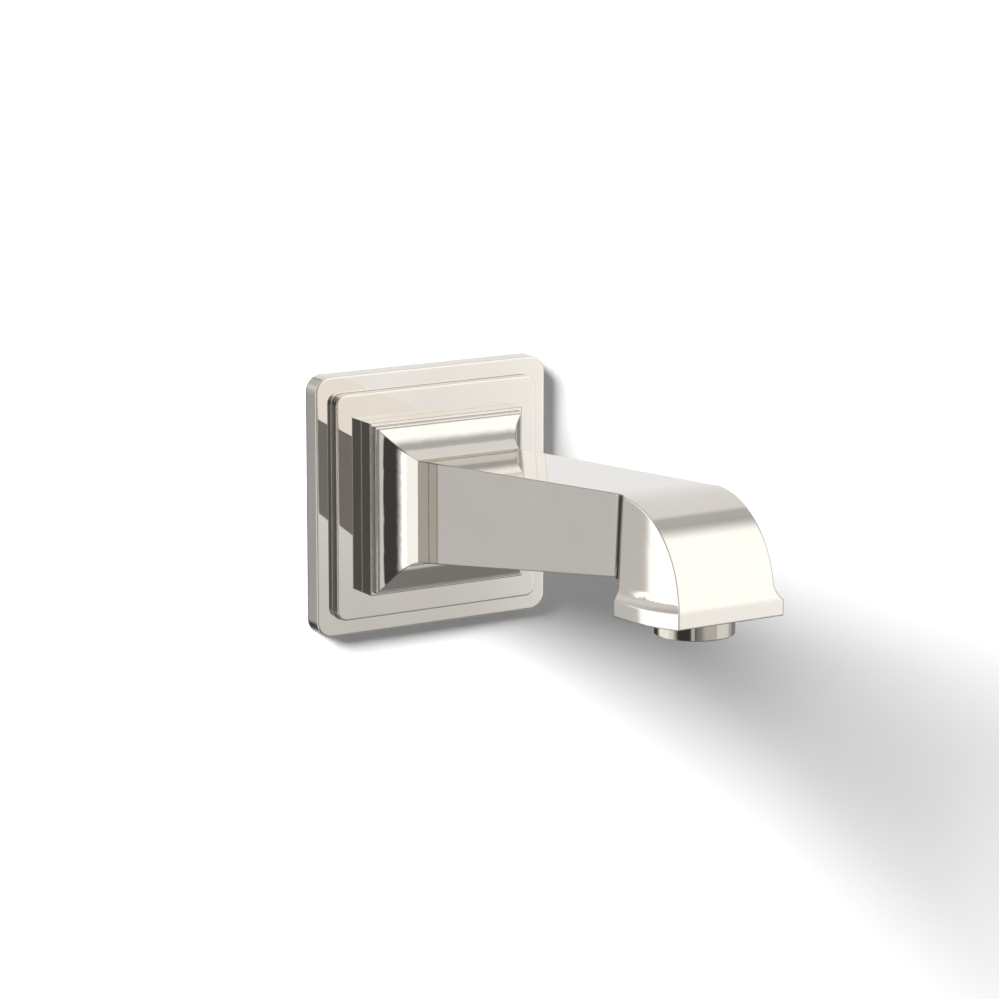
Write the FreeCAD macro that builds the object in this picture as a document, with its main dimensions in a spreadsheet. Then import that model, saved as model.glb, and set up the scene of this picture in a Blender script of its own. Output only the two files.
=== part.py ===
import FreeCAD, Part
import Sketcher
import math
import os

# Wall mounted bath spout, in millimetres.
# +Z is up and the wall is the plane Y = 0. The spout reaches towards -Y, so "reach" below
# means distance from the wall. The origin is the centre of the escutcheon's back face.

doc = FreeCAD.newDocument("bathSpout")

# ---------------------------------------------------------------- driving dimensions

dimensions = [
    # escutcheon: a stepped square plate, hollow behind, with an upstand round its opening
    ("plateHalf", 47.5), ("plateReach", 7.6), ("plateCorner", 5.8),
    ("raisedHalf", 41.25), ("raisedReach", 11.3), ("raisedCorner", 3.8),
    ("openingHalf", 24.0), ("upstandHalf", 27.3), ("upstandReach", 13.9), ("upstandNotch", 7.0),
    ("plateHollowHalf", 44.0), ("plateHollowReach", 5.1),
    ("raisedHollowHalf", 38.0), ("raisedHollowReach", 8.2), ("edgeRound", 0.5),
    # foam frame behind the escutcheon, and the thin seal under the spout's block
    ("foamHalf", 43.8), ("foamInnerHalf", 39.5), ("foamReach", 5.1),
    ("sealHalf", 29.9), ("sealInnerHalf", 28.5), ("sealTopReach", 12.3),
    # spout: square block with two small ledges, hollow cove, tapered arm
    ("blockHalf", 31.4), ("blockReach", 18.1), ("ledgeHalf", 30.3), ("ledgeReach", 20.0),
    ("lipHalf", 29.5), ("coveStartReach", 20.6), ("coveEndReach", 33.8),
    ("armRootHalf", 21.0), ("armRootTop", 19.8), ("armRootBottom", 17.3),
    ("armEndReach", 155.6), ("armEndHalf", 16.7), ("armEndTop", 30.2), ("armEndBottom", 1.95),
    ("coveStartAngle", 28.0), ("coveEndAngle", 77.0), ("armSplitReach", 90.0),
    ("armTopReach", 154.2), ("armInsideReach", 167.0), ("armInsideTop", 20.0),
    ("throatDrop", 3.5), ("throatHalf", 18.55),
    # head: quarter-round front, flat sides, flared rim whose lower edge rises to the front
    ("headBackReach", 161.5), ("headHalf", 18.6), ("headTop", 30.5), ("roundStartReach", 164.0),
    ("roundLength", 33.2), ("flareTop", 4.6), ("flareTopReach", 196.85), ("rimReach", 200.2),
    ("rimTopFront", -1.0), ("rimHalf", 20.4), ("rimHeight", 5.3), ("flareHeight", 5.2),
    ("rimArc", 258.0), ("rimArcReach", 158.0), ("rimLow", -9.8),
    ("recessHalf", 17.9), ("recessBackReach", 163.4), ("recessFrontReach", 197.6), ("recessRoof", -5.8),
    # hollows of the spout
    ("pocketHalf", 27.4), ("pocketReach", 19.0), ("bossRadius", 15.5), ("bossBackReach", 11.5),
    ("socketRadius", 12.0), ("socketReach", 43.0), ("webHalf", 5.5),
    ("coreStartReach", 42.0), ("coreEndReach", 176.0), ("coreStartHalf", 11.0), ("coreEndHalf", 12.0),
    ("coreStartTop", 11.0), ("coreStartBottom", -9.0), ("coreEndTop", 24.6), ("coreEndBottom", 8.0),
    ("chamberRadius", 9.8), ("chamberTop", 16.6), ("outletReach", 178.8),
    # set screw that clamps the spout to the adapter
    ("screwReach", 14.9), ("screwRadius", 2.5), ("screwTip", -11.2), ("screwLength", 14.0),
    ("socketKeyRadius", 1.44), ("socketKeyDepth", 3.0),
    # inlet adapter with half-inch female thread, and its seals
    ("hexReach", 9.5), ("hexRadius", 14.5), ("spigotRadius", 11.9),
    ("spigotReach", 41.0), ("threadRadius", 9.3), ("threadReach", 14.2), ("boreRadius", 6.5),
    ("washerSeatRadius", 9.7), ("washerSeatReach", 16.0),
    ("clampBackReach", 12.2), ("clampFrontReach", 17.6), ("clampRadius", 11.2),
    ("grooveRadius", 9.6), ("grooveWidth", 2.9), ("grooveReachA", 24.0), ("grooveReachB", 32.0),
    ("spigotRingSection", 1.2), ("spigotRingCentre", 10.8),
    # outlet insert: guide for the pull ring, valve seat and spring cup in one turned piece
    ("insertRadius", 14.8), ("insertBottom", -5.8), ("insertTop", 5.7), ("guideRadius", 13.76),
    ("seatUnder", 4.2), ("portRadius", 7.4), ("seatLipRadius", 8.2), ("seatLipTop", 6.1),
    ("cupRadius", 4.5), ("cupBore", 3.5), ("cupBottom", -2.4), ("cupFloor", -1.0), ("cupTop", 4.2),
    ("bushBore", 2.05), ("bushRadius", 2.9), ("bushFlange", 3.4), ("bushFlangeTop", -0.4),
    ("ribHalf", 0.7), ("ribOuter", 8.0), ("ribBottom", 1.6),
    ("gasketInner", 10.2), ("gasketOuter", 14.6), ("gasketTop", 6.7),
    # pull ring and what it carries
    ("stroke", 5.5), ("ringRadius", 13.7), ("ringBore", 11.8), ("ringBottom", -13.9), ("ringTop", 3.4),
    ("ringLipBore", 10.8), ("ringLipTop", -13.2), ("ringEdge", 0.5),
    ("ringGrooveLow", 0.4), ("ringGrooveHigh", 2.0), ("ringGrooveRadius", 12.5),
    ("ringSealSection", 0.62), ("ringSealCentre", 13.13), ("ringSealHeight", 1.2),
    ("strainerRadius", 11.75), ("strainerBottom", -13.2), ("strainerTop", -10.8),
    ("strainerHole", 1.0), ("washerTop", -9.8), ("washerInner", 9.6),
    ("spiderBottom", -9.8), ("spiderTop", -6.8), ("spiderHub", 3.6), ("spiderRim", 11.75),
    ("spiderRimInner", 10.7), ("spiderArmHalf", 0.9),
    ("stemRadius", 2.0), ("stemHead", 3.3), ("stemHeadBottom", -10.6), ("stemTop", 15.9),
    ("retainerRadius", 4.3), ("retainerBottom", 10.5), ("plugRadius", 8.5),
    ("sealBottom", 11.65), ("sealTop", 13.0), ("plugTop", 14.2), ("nutRadius", 3.3), ("nutTop", 15.6),
    # return spring
    ("springMean", 2.72), ("springWire", 0.32), ("springPitch", 1.9),
]

sheet = doc.addObject("Spreadsheet::Sheet", "Dims")
for row, (alias, value) in enumerate(dimensions, start=1):
    sheet.set("A%d" % row, alias)
    sheet.set("B%d" % row, str(value))
    sheet.setAlias("B%d" % row, alias)
doc.recompute()


def size(word):
    """Value of a sheet alias; a leading minus sign turns it round."""
    if word == "0":
        return 0.0
    sign = -1.0 if word.startswith("-") else 1.0
    return sign * float(sheet.get(word.lstrip("-")))


def link(word):
    return "-Dims." + word[1:] if word.startswith("-") else "Dims." + word


# ---------------------------------------------------------------- feature helpers

def newBody(label):
    body = doc.addObject("PartDesign::Body", label)
    body.Label = label
    return body


def originPlane(body, role):
    for feature in body.Origin.OriginFeatures:
        if feature.Role == role:
            return feature


def newSketch(body, role, offset=("0", "0", "0")):
    """Sketch on one of the body's own origin planes, moved in that plane's frame."""
    sketch = body.newObject("Sketcher::SketchObject", body.Label + "Sketch")
    sketch.AttachmentSupport = [(originPlane(body, role), "")]
    sketch.MapMode = "FlatFace"
    for axis, word in zip("xyz", offset):
        if word != "0":
            sketch.setExpression("AttachmentOffset.Base." + axis, link(word))
    return sketch


def pinPoint(sketch, geo, pos, point):
    """Fix a point at sheet distances from the sketch's origin."""
    for kind, axisLine, word in (("DistanceX", -2, point[0]), ("DistanceY", -1, point[1])):
        value = size(word)
        if word == "0":
            sketch.addConstraint(Sketcher.Constraint("PointOnObject", geo, pos, axisLine))
            continue
        ends = (-1, 1, geo, pos) if value > 0 else (geo, pos, -1, 1)
        index = sketch.addConstraint(Sketcher.Constraint(kind, *ends, abs(value)))
        flip = (value < 0) != word.startswith("-")
        plain = word.lstrip("-")
        sketch.setExpression("Constraints[%d]" % index, ("-Dims." if flip else "Dims.") + plain)


def polygon(sketch, points):
    first = sketch.GeometryCount
    places = [FreeCAD.Vector(size(x), size(y), 0) for x, y in points]
    count = len(places)
    for i in range(count):
        sketch.addGeometry(Part.LineSegment(places[i], places[(i + 1) % count]), False)
    for i in range(count):
        following = first + (i + 1) % count
        sketch.addConstraint(Sketcher.Constraint("Coincident", first + i, 2, following, 1))
    for i, point in enumerate(points):
        pinPoint(sketch, first + i, 1, point)


def square(sketch, half):
    minus = "-" + half
    polygon(sketch, [(minus, minus), (half, minus), (half, half), (minus, half)])


def circle(sketch, radius, centre=("0", "0")):
    place = FreeCAD.Vector(size(centre[0]), size(centre[1]), 0)
    geo = sketch.addGeometry(Part.Circle(place, FreeCAD.Vector(0, 0, 1), size(radius)), False)
    index = sketch.addConstraint(Sketcher.Constraint("Radius", geo, size(radius)))
    sketch.setExpression("Constraints[%d]" % index, link(radius))
    pinPoint(sketch, geo, 3, centre)


def outline(sketch, edges):
    """Closed outline of ready-made edges given in order round the loop."""
    first = sketch.GeometryCount
    for edge in edges:
        sketch.addGeometry(edge, False)
    count = len(edges)
    for i in range(count):
        here, following = first + i, first + (i + 1) % count
        pairs = [(a, b) for a in (1, 2) for b in (1, 2)]
        gap = {ab: (sketch.getPoint(here, ab[0]) - sketch.getPoint(following, ab[1])).Length for ab in pairs}
        near = min(gap, key=gap.get)
        sketch.addConstraint(Sketcher.Constraint("Coincident", here, near[0], following, near[1]))


def pad(body, sketch, length, both=False):
    feature = body.newObject("PartDesign::Pad", body.Label + "Pad")
    feature.Profile = sketch
    feature.setExpression("Length", length)
    feature.Midplane = both
    sketch.Visibility = False
    doc.recompute()
    return feature


def pocket(body, sketch, length, reverse=False):
    before = body.Shape.Volume
    feature = body.newObject("PartDesign::Pocket", body.Label + "Pocket")
    feature.Profile = sketch
    feature.Reversed = reverse
    feature.setExpression("Length", length)
    sketch.Visibility = False
    doc.recompute()
    if body.Shape.Volume >= before:
        raise RuntimeError(body.Label + ": pocket removed nothing")
    return feature


def turn(body, sketch, axis):
    feature = body.newObject("PartDesign::Revolution", body.Label + "Turn")
    feature.Profile = sketch
    feature.ReferenceAxis = (sketch, [axis])
    feature.Angle = 360
    sketch.Visibility = False
    doc.recompute()
    return feature


def polar(body, feature, sketch, count):
    pattern = body.newObject("PartDesign::PolarPattern", body.Label + "Pattern")
    pattern.Originals = [feature]
    pattern.Axis = (sketch, ["N_Axis"])
    pattern.Angle = 360
    pattern.Occurrences = count
    body.Tip = pattern
    doc.recompute()
    return pattern


def roundEdges(body, radius, wanted):
    """Fillet every edge of the body's shape that the test accepts."""
    names = []
    for i, edge in enumerate(body.Shape.Edges, start=1):
        if wanted(edge):
            names.append("Edge%d" % i)
    if not names:
        raise RuntimeError(body.Label + ": no edge to round")
    fillet = body.newObject("PartDesign::Fillet", body.Label + "Fillet")
    fillet.Base = (body.Tip if body.Tip != fillet else body.Group[-2], names)
    fillet.setExpression("Radius", link(radius))
    body.Tip = fillet
    doc.recompute()
    return fillet


def alongY(edge):
    """True for a straight edge that runs away from the wall."""
    if edge.Curve.TypeId != "Part::GeomLine":
        return False
    return abs(edge.tangentAt(edge.FirstParameter).y) > 0.999


def cornerAt(half, reach):
    """Test for the four outer corner edges of a square step that ends at this reach."""
    def test(edge):
        middle = edge.CenterOfMass
        atCorner = abs(abs(middle.x) - half) < 0.01 and abs(abs(middle.z) - half) < 0.01
        return alongY(edge) and atCorner and -middle.y < reach
    return test


def faceEdges(half, reach):
    """Test for the outer edges round the front face of a step."""
    def test(edge):
        box = edge.BoundBox
        flat = abs(box.YMin + reach) < 0.01 and abs(box.YMax + reach) < 0.01
        furthest = max(abs(edge.CenterOfMass.x), abs(edge.CenterOfMass.z))
        return flat and furthest > half - 4.0
    return test


def turned(label, points, axis="V_Axis"):
    """Turned piece on the outlet's axis (V_Axis) or the inlet's axis (H_Axis)."""
    body = newBody(label)
    if axis == "V_Axis":
        sketch = newSketch(body, "XZ_Plane", ("0", "0", "outletReach"))
    else:
        sketch = newSketch(body, "YZ_Plane")
    polygon(sketch, points)
    turn(body, sketch, axis)
    return body


def tube(label, inner, outer, low, high):
    return turned(label, [(inner, low), (outer, low), (outer, high), (inner, high)])


def roundSeal(label, centre, section, axis):
    """Seal of round section: the section circle turned about an axis."""
    body = newBody(label)
    if axis == "V_Axis":
        sketch = newSketch(body, "XZ_Plane", ("0", "0", "outletReach"))
    else:
        sketch = newSketch(body, "YZ_Plane")
    circle(sketch, section, centre)
    turn(body, sketch, axis)
    return body


def combine(kind, label, shapes):
    feature = doc.addObject(kind, label)
    feature.Shapes = shapes
    feature.Refine = True
    doc.recompute()
    return feature


def subtract(label, base, tool):
    feature = doc.addObject("Part::Cut", label)
    feature.Base = base
    feature.Tool = tool
    feature.Refine = True
    doc.recompute()
    return feature


def flat(reach, height):
    """Point of a side view: distance from the wall, height."""
    return FreeCAD.Vector(-reach, height, 0)


def hollowQuarter(centre, start, end):
    """Quarter of an ellipse between two points level with its centre along one axis each."""
    points = []
    for i in range(9):
        angle = math.radians(90.0 * i / 8)
        points.append(centre + (start - centre) * math.cos(angle) + (end - centre) * math.sin(angle))
    curve = Part.BSplineCurve()
    curve.interpolate(points)
    return curve


def bent(start, corner, end):
    """Smooth curve that leaves the start towards the corner and comes to the end from it."""
    curve = Part.BezierCurve()
    curve.setPoles([start, corner, end])
    return curve.toBSpline()


def cove(start, end, outward):
    """Hollow curve of the cove; its surface turns from the start angle to the end angle off the wall."""
    first, last = (math.radians(size(word)) for word in ("coveStartAngle", "coveEndAngle"))
    run = end - start
    if abs(outward.x) > 0:
        forward, inward = abs(run.y), abs(run.x)
        reach = FreeCAD.Vector(0, run.y / forward, 0)
    else:
        forward, inward = abs(run.x), abs(run.y)
        reach = FreeCAD.Vector(run.x / forward, 0, 0)
    # length of the first leg, so that both legs meet at the curve's corner
    width = math.cos(first) * math.sin(last) - math.sin(first) * math.cos(last)
    leg = (inward * math.sin(last) - forward * math.cos(last)) / width
    away = reach * (leg * math.sin(first)) - outward * (leg * math.cos(first))
    return bent(start, start + away, end)


def line(a, b):
    return Part.LineSegment(a, b)


# ---------------------------------------------------------------- escutcheon and its seals

def escutcheon():
    body = newBody("escutcheon")
    lower = newSketch(body, "XZ_Plane")
    square(lower, "plateHalf")
    square(lower, "openingHalf")
    pad(body, lower, "Dims.plateReach")
    roundEdges(body, "plateCorner", cornerAt(size("plateHalf"), size("plateReach")))
    roundEdges(body, "edgeRound", faceEdges(size("plateHalf"), size("plateReach")))

    raised = newSketch(body, "XZ_Plane", ("0", "0", "plateHollowReach"))
    square(raised, "raisedHalf")
    square(raised, "openingHalf")
    pad(body, raised, "Dims.raisedReach - Dims.plateHollowReach")
    roundEdges(body, "raisedCorner", cornerAt(size("raisedHalf"), size("raisedReach")))
    roundEdges(body, "edgeRound", faceEdges(size("raisedHalf"), size("raisedReach")))

    upstand = newSketch(body, "XZ_Plane", ("0", "0", "raisedHollowReach"))
    square(upstand, "upstandHalf")
    square(upstand, "openingHalf")
    pad(body, upstand, "Dims.upstandReach - Dims.raisedHollowReach")

    # the set screw's web passes through a notch in the upstand
    notch = newSketch(body, "XZ_Plane", ("0", "0", "raisedReach"))
    polygon(notch, [("-upstandNotch", "-blockHalf"), ("upstandNotch", "-blockHalf"),
                    ("upstandNotch", "-socketRadius"), ("-upstandNotch", "-socketRadius")])
    pocket(body, notch, "Dims.upstandReach", reverse=True)

    hollow = newSketch(body, "XZ_Plane")
    square(hollow, "plateHollowHalf")
    pocket(body, hollow, "Dims.plateHollowReach", reverse=True)
    raisedHollow = newSketch(body, "XZ_Plane")
    square(raisedHollow, "raisedHollowHalf")
    pocket(body, raisedHollow, "Dims.raisedHollowReach", reverse=True)
    return body


def squareFrame(label, outer, inner, start, length):
    body = newBody(label)
    sketch = newSketch(body, "XZ_Plane", ("0", "0", start))
    square(sketch, outer)
    square(sketch, inner)
    pad(body, sketch, length)
    return body


# ---------------------------------------------------------------- spout

def neck():
    """Block, ledges, cove and arm: a side view, trimmed by a plan view."""
    body = newBody("neckShape")
    block, ledge, lip = size("blockHalf"), size("ledgeHalf"), size("lipHalf")
    start, end = size("coveStartReach"), size("coveEndReach")
    endReach, endTop, endBottom = size("armEndReach"), size("armEndTop"), size("armEndBottom")
    back, inside = size("headBackReach"), size("armInsideReach")
    top, crown = size("headTop"), size("roundStartReach")
    climb = (endTop - size("armRootTop")) / (endReach - end)

    def steps(side):
        """Block and ledges, from the block's back corner to the start of the cove."""
        return [flat(size("raisedReach"), side * block), flat(size("blockReach"), side * block),
                flat(size("blockReach"), side * ledge), flat(size("ledgeReach"), side * ledge),
                flat(size("ledgeReach"), side * lip), flat(start, side * lip)]

    upper = steps(1)
    rootTop, rootBottom = size("armRootTop"), -size("armRootBottom")
    edges = [line(a, b) for a, b in zip(upper, upper[1:])]
    edges.append(cove(flat(start, lip), flat(end, rootTop), flat(0, 1)))
    # the arm's top bends over to meet the head's crown level
    bendStart = flat(size("armTopReach"), rootTop + climb * (size("armTopReach") - end))
    bendCorner = flat(end + (top - rootTop) / climb, top)
    edges.append(line(flat(end, rootTop), bendStart))
    edges.append(bent(bendStart, bendCorner, flat(crown, top)))
    buried = [flat(crown, top), flat(crown, size("armInsideTop")), flat(inside, size("armInsideTop")),
              flat(inside, -size("throatDrop")), flat(back, -size("throatDrop"))]
    edges += [line(a, b) for a, b in zip(buried, buried[1:])]
    edges.append(hollowQuarter(flat(endReach, -size("throatDrop")), flat(back, -size("throatDrop")),
                               flat(endReach, endBottom)))
    edges.append(line(flat(endReach, endBottom), flat(end, rootBottom)))
    edges.append(cove(flat(start, -lip), flat(end, rootBottom), flat(0, -1)))
    lower = steps(-1)[::-1]
    edges += [line(a, b) for a, b in zip(lower, lower[1:])]
    edges.append(line(lower[-1], upper[0]))
    side = newSketch(body, "YZ_Plane")
    outline(side, edges)
    pad(body, side, "2 * Dims.blockHalf", both=True)

    # plan view: what lies outside the width at each reach is cut away on both sides, straight
    # down as far as the arm, then leaning with the head's back face round the throat
    rootHalf, endHalf = size("armRootHalf"), size("armEndHalf")
    throat, split = size("throatHalf"), size("armSplitReach")
    taper = (endHalf - rootHalf) / (endReach - end)
    lean = (crown - back) / (top + size("throatDrop"))
    far = block + 5.0
    for sign in (1, -1):
        def plan(half, reach):
            return FreeCAD.Vector(sign * half, -reach, 0)

        rim = [plan(block, size("raisedReach") - 2.0), plan(block, size("blockReach")),
               plan(ledge, size("blockReach")), plan(ledge, size("ledgeReach")),
               plan(lip, size("ledgeReach")), plan(lip, start)]
        edges = [line(a, b) for a, b in zip(rim, rim[1:])]
        edges.append(cove(plan(lip, start), plan(rootHalf, end), FreeCAD.Vector(sign, 0, 0)))
        edges.append(line(plan(rootHalf, end), plan(endHalf, endReach)))
        edges.append(line(plan(endHalf, endReach), plan(far, endReach)))
        edges.append(line(plan(far, endReach), plan(far, rim[0].y * -1.0)))
        edges.append(line(plan(far, rim[0].y * -1.0), rim[0]))
        cutter = newSketch(body, "XY_Plane")
        outline(cutter, edges)
        trim = pocket(body, cutter, "4 * Dims.blockHalf")
        trim.Midplane = True
        doc.recompute()

        splitHalf = endHalf - taper * (endReach - split)
        edges = [line(plan(splitHalf, split), plan(endHalf, endReach)),
                 hollowQuarter(plan(throat, endReach), plan(endHalf, endReach), plan(throat, back))]
        tail = [plan(throat, back), plan(throat - 1.0, back), plan(throat - 1.0, inside + 3.0),
                plan(far, inside + 3.0), plan(far, split), plan(splitHalf, split)]
        edges += [line(a, b) for a, b in zip(tail, tail[1:])]
        leaning = newSketch(body, "XY_Plane", ("0", "0", "-throatDrop"))
        outline(leaning, edges)
        trim = pocket(body, leaning, "4 * Dims.blockHalf", reverse=True)
        trim.Midplane = True
        trim.UseCustomVector = True
        trim.Direction = FreeCAD.Vector(sign * taper * lean, -lean, 1)
        doc.recompute()
    return body


def head():
    """Quarter-round head: its side view, met by a section swept along the rim's arc."""
    side = newBody("headSide")
    top, start = size("headTop"), size("roundStartReach")
    flareReach, flareTop = size("flareTopReach"), size("flareTop")
    front, rimTop = size("rimReach"), size("rimTopFront")
    back, low = size("headBackReach"), size("rimLow") - 3.0
    run = size("roundLength")
    points = []
    for i in range(13):
        height = flareTop + (top - flareTop) * math.sin(math.radians(90.0 * i / 12))
        across = math.sqrt(max(0.0, 1.0 - (height / top) ** 2))
        points.append(flat(start + run * across, height))
    shoulder = Part.BSplineCurve()
    shoulder.interpolate(points)
    flareStart = points[0]
    # the flare leaves the quarter-round in the same direction
    slope = run * flareTop / (top * top * math.sqrt(1.0 - (flareTop / top) ** 2))
    drop = 0.57 * (flareTop - rimTop)
    flare = bent(flat(front, rimTop), flareStart + flat(drop * slope, -drop), flareStart)
    heel = flat(back, -size("throatDrop"))
    edges = [line(flat(front, low), flat(front, rimTop)), flare, shoulder,
             line(flat(start, top), heel), line(heel, flat(back, low)),
             line(flat(back, low), flat(front, low))]
    sketch = newSketch(side, "YZ_Plane")
    outline(sketch, edges)
    pad(side, sketch, "2 * Dims.rimHalf + 2", both=True)

    # cross-section of rim, flare and side walls, turned about the rim arc's far centre line
    sweep = newBody("headSweep")
    wide, narrow = size("rimHalf"), size("headHalf")
    rim, flareUp = size("rimHeight"), size("flareHeight")
    arc = size("rimArc")
    tall = 48.0

    def across(half, height):
        return FreeCAD.Vector(half, height - arc, 0)

    halfPoints = [across(wide, 0), across(wide, rim), across(narrow, rim + flareUp), across(narrow, tall)]
    corner = across(narrow, rim + 0.43 * flareUp)
    mirrored = [FreeCAD.Vector(-p.x, p.y, 0) for p in halfPoints]
    mirroredCorner = FreeCAD.Vector(-corner.x, corner.y, 0)
    edges = [line(halfPoints[0], halfPoints[1]), bent(halfPoints[1], corner, halfPoints[2]),
             line(halfPoints[2], halfPoints[3]), line(halfPoints[3], mirrored[3]),
             line(mirrored[3], mirrored[2]), bent(mirrored[2], mirroredCorner, mirrored[1]),
             line(mirrored[1], mirrored[0]), line(mirrored[0], halfPoints[0])]
    section = newSketch(sweep, "XZ_Plane")
    section.setExpression("AttachmentOffset.Base.z", "Dims.rimArcReach")
    section.setExpression("AttachmentOffset.Base.y", "Dims.rimLow + Dims.rimArc")
    outline(section, edges)
    feature = sweep.newObject("PartDesign::Revolution", "headSweepTurn")
    feature.Profile = section
    feature.ReferenceAxis = (section, ["H_Axis"])
    feature.Angle = 30
    feature.Midplane = True
    doc.recompute()
    return combine("Part::MultiCommon", "headShape", [side, sweep])


def hollows():
    """Everything cut out of the spout, as one tool."""
    tools = []

    # square pocket behind the block, round a boss that stands in it and a web for the set screw
    pocketBody = newBody("backPocket")
    sketch = newSketch(pocketBody, "XZ_Plane", ("0", "0", "raisedHollowReach"))
    square(sketch, "pocketHalf")
    pad(pocketBody, sketch, "Dims.pocketReach - Dims.raisedHollowReach")
    boss = newBody("boss")
    sketch = newSketch(boss, "XZ_Plane", ("0", "0", "bossBackReach"))
    circle(sketch, "bossRadius")
    pad(boss, sketch, "Dims.coveEndReach - Dims.bossBackReach")
    web = newBody("web")
    sketch = newSketch(web, "XZ_Plane", ("0", "0", "bossBackReach"))
    polygon(sketch, [("-webHalf", "-blockHalf"), ("webHalf", "-blockHalf"), ("webHalf", "0"), ("-webHalf", "0")])
    pad(web, sketch, "Dims.coveEndReach - Dims.bossBackReach")
    core = combine("Part::MultiFuse", "bossAndWeb", [boss, web])
    tools.append(subtract("backHollow", pocketBody, core))

    # groove for the thin seal in the block's back face
    tools.append(squareFrame("sealGroove", "sealHalf", "sealInnerHalf", "raisedHollowReach",
                             "Dims.sealTopReach - Dims.raisedHollowReach"))

    # socket for the adapter's spigot
    tools.append(turned("socket", [("-raisedHollowReach", "0"), ("-raisedHollowReach", "socketRadius"),
                                   ("-socketReach", "socketRadius"), ("-socketReach", "0")], "H_Axis"))

    # waterway: a tapered rectangle that climbs with the arm
    def ring(reach, half, low, high):
        corners = [(-half, low), (half, low), (half, high), (-half, high), (-half, low)]
        return Part.makePolygon([FreeCAD.Vector(x, -reach, z) for x, z in corners])

    waterway = doc.addObject("Part::Feature", "waterway")
    waterway.Shape = Part.makeLoft([
        ring(size("coreStartReach"), size("coreStartHalf"), size("coreStartBottom"), size("coreStartTop")),
        ring(size("coreEndReach"), size("coreEndHalf"), size("coreEndBottom"), size("coreEndTop"))], True, True)
    tools.append(waterway)

    # chamber over the valve seat, and the bore that takes the outlet insert
    tools.append(turned("chamber", [("0", "rimLow"), ("insertRadius", "rimLow"), ("insertRadius", "gasketTop"),
                                    ("chamberRadius", "gasketTop"), ("chamberRadius", "chamberTop"),
                                    ("0", "chamberTop")]))

    # recess under the head, inside the rim
    recess = newBody("recess")
    sketch = newSketch(recess, "XY_Plane", ("0", "0", "recessRoof"))
    polygon(sketch, [("-recessHalf", "-recessFrontReach"), ("recessHalf", "-recessFrontReach"),
                     ("recessHalf", "-recessBackReach"), ("-recessHalf", "-recessBackReach")])
    down = pad(recess, sketch, "Dims.rimHeight + 5")
    down.Reversed = True
    doc.recompute()
    tools.append(recess)

    # tapped hole for the set screw, up through the block and web
    screwHole = newBody("screwHole")
    sketch = newSketch(screwHole, "XY_Plane", ("0", "-screwReach", "-blockHalf"))
    circle(sketch, "screwRadius")
    pad(screwHole, sketch, "Dims.blockHalf - Dims.screwRadius")
    tools.append(screwHole)
    return combine("Part::MultiFuse", "spoutHollows", tools)


def spout():
    outside = combine("Part::MultiFuse", "spoutOutside", [neck(), head()])
    body = subtract("spout_body", outside, hollows())
    body.Label = "spout_body"
    return body


# ---------------------------------------------------------------- inlet side

def inletAdapter():
    """Hexagon at the wall, spigot with two seal grooves and a clamping groove."""
    spigot = [("0", "threadRadius"), ("0", "spigotRadius"),
              ("-clampBackReach", "spigotRadius"), ("-clampBackReach", "clampRadius"),
              ("-clampFrontReach", "clampRadius"), ("-clampFrontReach", "spigotRadius")]
    body = newBody("inlet_adapter")
    sketch = newSketch(body, "YZ_Plane")
    polygon(sketch, spigot + [("-spigotReach", "spigotRadius"), ("-spigotReach", "boreRadius"),
                              ("-washerSeatReach", "boreRadius"), ("-washerSeatReach", "washerSeatRadius"),
                              ("-threadReach", "washerSeatRadius"), ("-threadReach", "threadRadius")])
    turn(body, sketch, "H_Axis")
    for reach in ("grooveReachA", "grooveReachB"):
        ring = newSketch(body, "XZ_Plane", ("0", "0", reach))
        circle(ring, "hexRadius")
        circle(ring, "grooveRadius")
        pocket(body, ring, "Dims.grooveWidth", reverse=True)
    hexagon = newSketch(body, "XZ_Plane")
    radius = size("hexRadius") / math.cos(math.radians(30))
    corners = []
    for i in range(6):
        angle = math.radians(60 * i)
        corners.append(FreeCAD.Vector(radius * math.cos(angle), radius * math.sin(angle), 0))
    outline(hexagon, [line(corners[i], corners[(i + 1) % 6]) for i in range(6)])
    hexagon.addGeometry(Part.Circle(FreeCAD.Vector(), FreeCAD.Vector(0, 0, 1), size("threadRadius")), False)
    pad(body, hexagon, "Dims.hexReach")
    return body


def adapterRings():
    rings = []
    for name, reach in (("spigotRingA", "grooveReachA"), ("spigotRingB", "grooveReachB")):
        body = newBody(name)
        sketch = newSketch(body, "YZ_Plane")
        middle = FreeCAD.Vector(-size(reach) - size("grooveWidth") / 2, size("spigotRingCentre"), 0)
        geo = sketch.addGeometry(Part.Circle(middle, FreeCAD.Vector(0, 0, 1), size("spigotRingSection")), False)
        index = sketch.addConstraint(Sketcher.Constraint("Radius", geo, size("spigotRingSection")))
        sketch.setExpression("Constraints[%d]" % index, "Dims.spigotRingSection")
        turn(body, sketch, "H_Axis")
        rings.append(body)
    pair = doc.addObject("Part::Compound", "adapter_o_rings")
    pair.Links = rings
    doc.recompute()
    return pair


def setScrew():
    body = newBody("set_screw")
    sketch = newSketch(body, "XY_Plane", ("0", "-screwReach", "screwTip"))
    circle(sketch, "screwRadius")
    shank = pad(body, sketch, "Dims.screwLength")
    shank.Reversed = True
    doc.recompute()
    key = newSketch(body, "XY_Plane", ("0", "-screwReach", "screwTip"))
    key.setExpression("AttachmentOffset.Base.z", "Dims.screwTip - Dims.screwLength")
    corners = []
    for i in range(6):
        angle = math.radians(60 * i)
        corners.append(FreeCAD.Vector(math.cos(angle), math.sin(angle), 0) * size("socketKeyRadius"))
    outline(key, [line(corners[i], corners[(i + 1) % 6]) for i in range(6)])
    pocket(body, key, "Dims.socketKeyDepth", reverse=True)
    return body


# ---------------------------------------------------------------- outlet and diverter

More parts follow.
